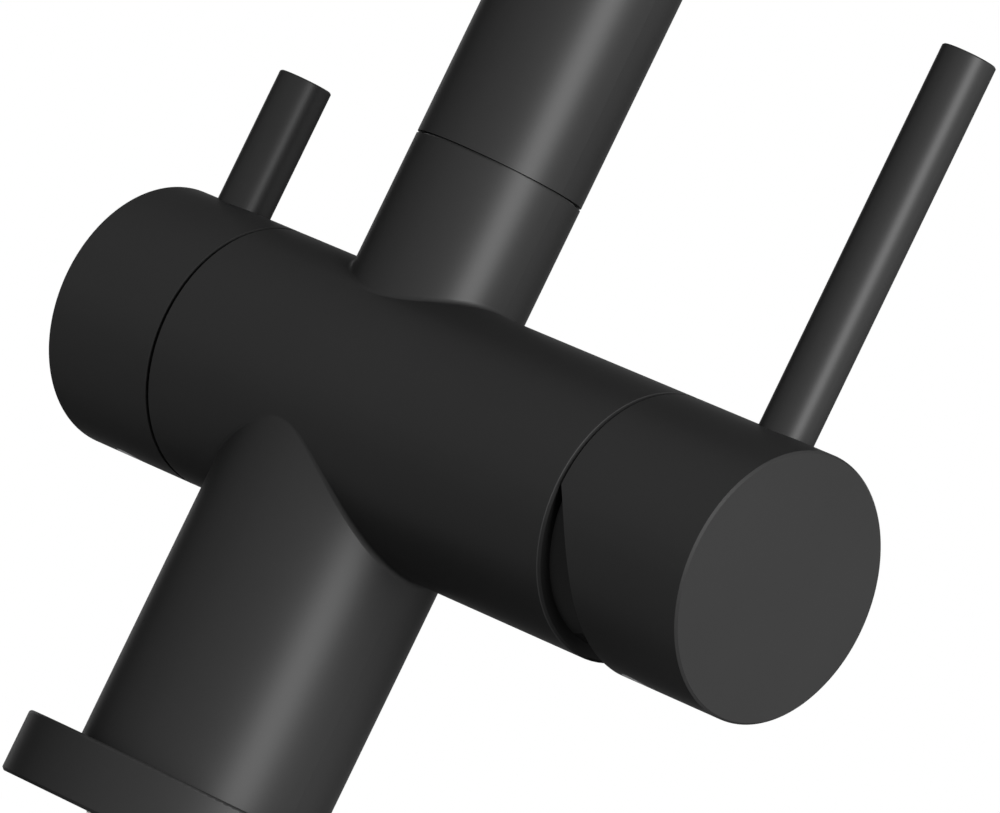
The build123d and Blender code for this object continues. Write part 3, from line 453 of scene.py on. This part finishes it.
# %% Shank
GROOVE_GAP, GROOVE_WIDE = 0.001, 0.002
BORE_EDGE = 0.0004
low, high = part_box("mounting_shank")
nut_low, nut_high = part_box("mounting_nut")
crest, edge = high.x, DEPTH + 0.0001
mounts = frame["record"]["mounts"]
bore = next(m["dims"]["r_mm"] for m in mounts if m["name"] == "hose_passage") / 1000
groove_top = nut_low.z - GROOVE_GAP
height, share = thread_rows(low.z, high.z)
radius = crest - DEPTH * (1 - share)
radius = np.minimum(radius, crest - edge + np.minimum(height - low.z, high.z - height))
in_groove = (height < groove_top) & (height > groove_top - GROOVE_WIDE)
radius = np.where(in_groove, np.minimum(radius, crest - edge), radius)
outside = turned(radius, height)
inside = turned(np.array([[bore + BORE_EDGE], [bore], [bore], [bore + BORE_EDGE]]),
                np.array([[high.z], [high.z - BORE_EDGE], [low.z + BORE_EDGE], [low.z]]))
rows = np.concatenate([outside, inside, outside[:1]])
shank = piece("threaded_shank", rows, PLATED, "base")
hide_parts("mounting_shank")

# %% [markdown]
# ## The hexagon nut
# A flat brass nut on the shank pulls the faucet down on the worktop. Its corners are turned off at
# 30 degrees, which leaves the curved edges that every bought nut has. A boolean of a prism and a
# cone would do; here one profile is carried round, and its outer radius follows the hexagon, so the
# curves come out by themselves. The inner rows use the thread formula with a little play, so that
# the two threads mesh.

# %% Nut
NUT_PLAY, NUT_LEAD = 0.00005, 0.0004
FACE_SHARE = 0.97
half_flats = nut_high.y
side = (around + math.pi / 6) % (math.pi / 3) - math.pi / 6
rim = half_flats / np.cos(np.abs(side) - math.pi / 6)
face = FACE_SHARE * half_flats
slope = (rim - face) * math.tan(math.pi / 6)
flat = np.ones_like(around)
mouth = crest + NUT_PLAY + NUT_LEAD
profile_r = np.stack([mouth * flat, face * flat, rim, rim, face * flat, mouth * flat])
profile_z = np.stack([nut_high.z * flat, nut_high.z * flat, nut_high.z - slope,
                      nut_low.z + slope, nut_low.z * flat, nut_low.z * flat])
height, share = thread_rows(nut_low.z, nut_high.z)
radius = crest - DEPTH * (1 - share) + NUT_PLAY
radius = np.maximum(radius, mouth - np.minimum(height - nut_low.z, nut_high.z - height))
rows = np.concatenate([turned(profile_r, profile_z), turned(radius, height)])
nut = piece("hexagon_nut", rows, PLATED, "base")
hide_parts("mounting_nut")

# %% [markdown]
# ## The filter cap's guide ring
# A seam half a millimetre wide parts the filter cap from the body, and seen edge on, daylight would
# shine through it. A black plastic ring closes it: it sits on the body's end face, reaches a little
# way into the cap and keeps it centred. A Screw modifier could sweep it; here the turned rows are
# laid over, from the Z axis to X.

# %% Guide ring
CAP_WALL = 0.0025
RING_REACH, RING_PLAY, RING_WALL, RING_EDGE = 0.0025, 0.0002, 0.0022, 0.0004


def laid(radius, run, height):
    """Turned points whose axis lies along X, at a height."""
    return turned(radius, run)[..., [2, 0, 1]] + np.array([0.0, 0.0, height])


cap_low, cap_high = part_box("filter_cap")
seat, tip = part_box("body_shell")[0].x, cap_high.x - RING_REACH
middle = (cap_low.z + cap_high.z) / 2
outer = (cap_high.z - cap_low.z) / 2 - CAP_WALL - RING_PLAY
hollow = outer - RING_WALL
profile_r = np.array([[hollow], [outer], [outer], [outer - RING_EDGE], [hollow], [hollow]])
profile_x = np.array([[seat], [seat], [tip + RING_EDGE], [tip], [tip], [seat]])
piece("cap_guide_ring", laid(profile_r, profile_x, middle), DARK, "base")

# %% [markdown]
# ## The dome under the mixer cap
# The arc under the mixer cap's rim opens a gap, in which the nut of the cartridge would show. On
# such mixers a black dome closes the view. It is a zone of a ball round the pivot, just small enough
# for the cap's rim to pass over it at every tilt. A sphere could be cut with booleans; here its
# section, two arcs and a step for the nut, is turned once.

# %% Dome
DOME_PLAY, DOME_WALL, DOME_REACH = 0.00026, 0.001, 0.0162
COLLAR_R, COLLAR_GAP = 0.01955, 0.0001
pivot = (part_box("pivot_pin")[0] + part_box("pivot_pin")[1]) / 2
rim_low, rim_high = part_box("mixer_cap")
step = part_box("cartridge_nut")[1].x + COLLAR_GAP - pivot.x
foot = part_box("body_shell")[1].x - pivot.x
ball = math.hypot(rim_low.x - pivot.x, rim_high.y - CAP_WALL) - DOME_PLAY
core = ball - DOME_WALL
front = math.acos(DOME_REACH / ball)
out = np.linspace(math.acos(foot / ball), front, 25)
back_in = np.linspace(front, math.acos(step / core), 13)
ends_r, ends_x = [COLLAR_R, COLLAR_R, ball * np.sin(out[0])], [step, foot, foot]
profile_r = np.concatenate([ball * np.sin(out), core * np.sin(back_in), ends_r])
profile_x = np.concatenate([ball * np.cos(out), core * np.cos(back_in), ends_x]) + pivot.x
dome = laid(profile_r[:, None], profile_x[:, None], pivot.z)
# the dome wears the darker copy of the coat, painted shade for the gap under the cap's rim
piece("cartridge_dome", dome, SHADED_BLACK, "base")
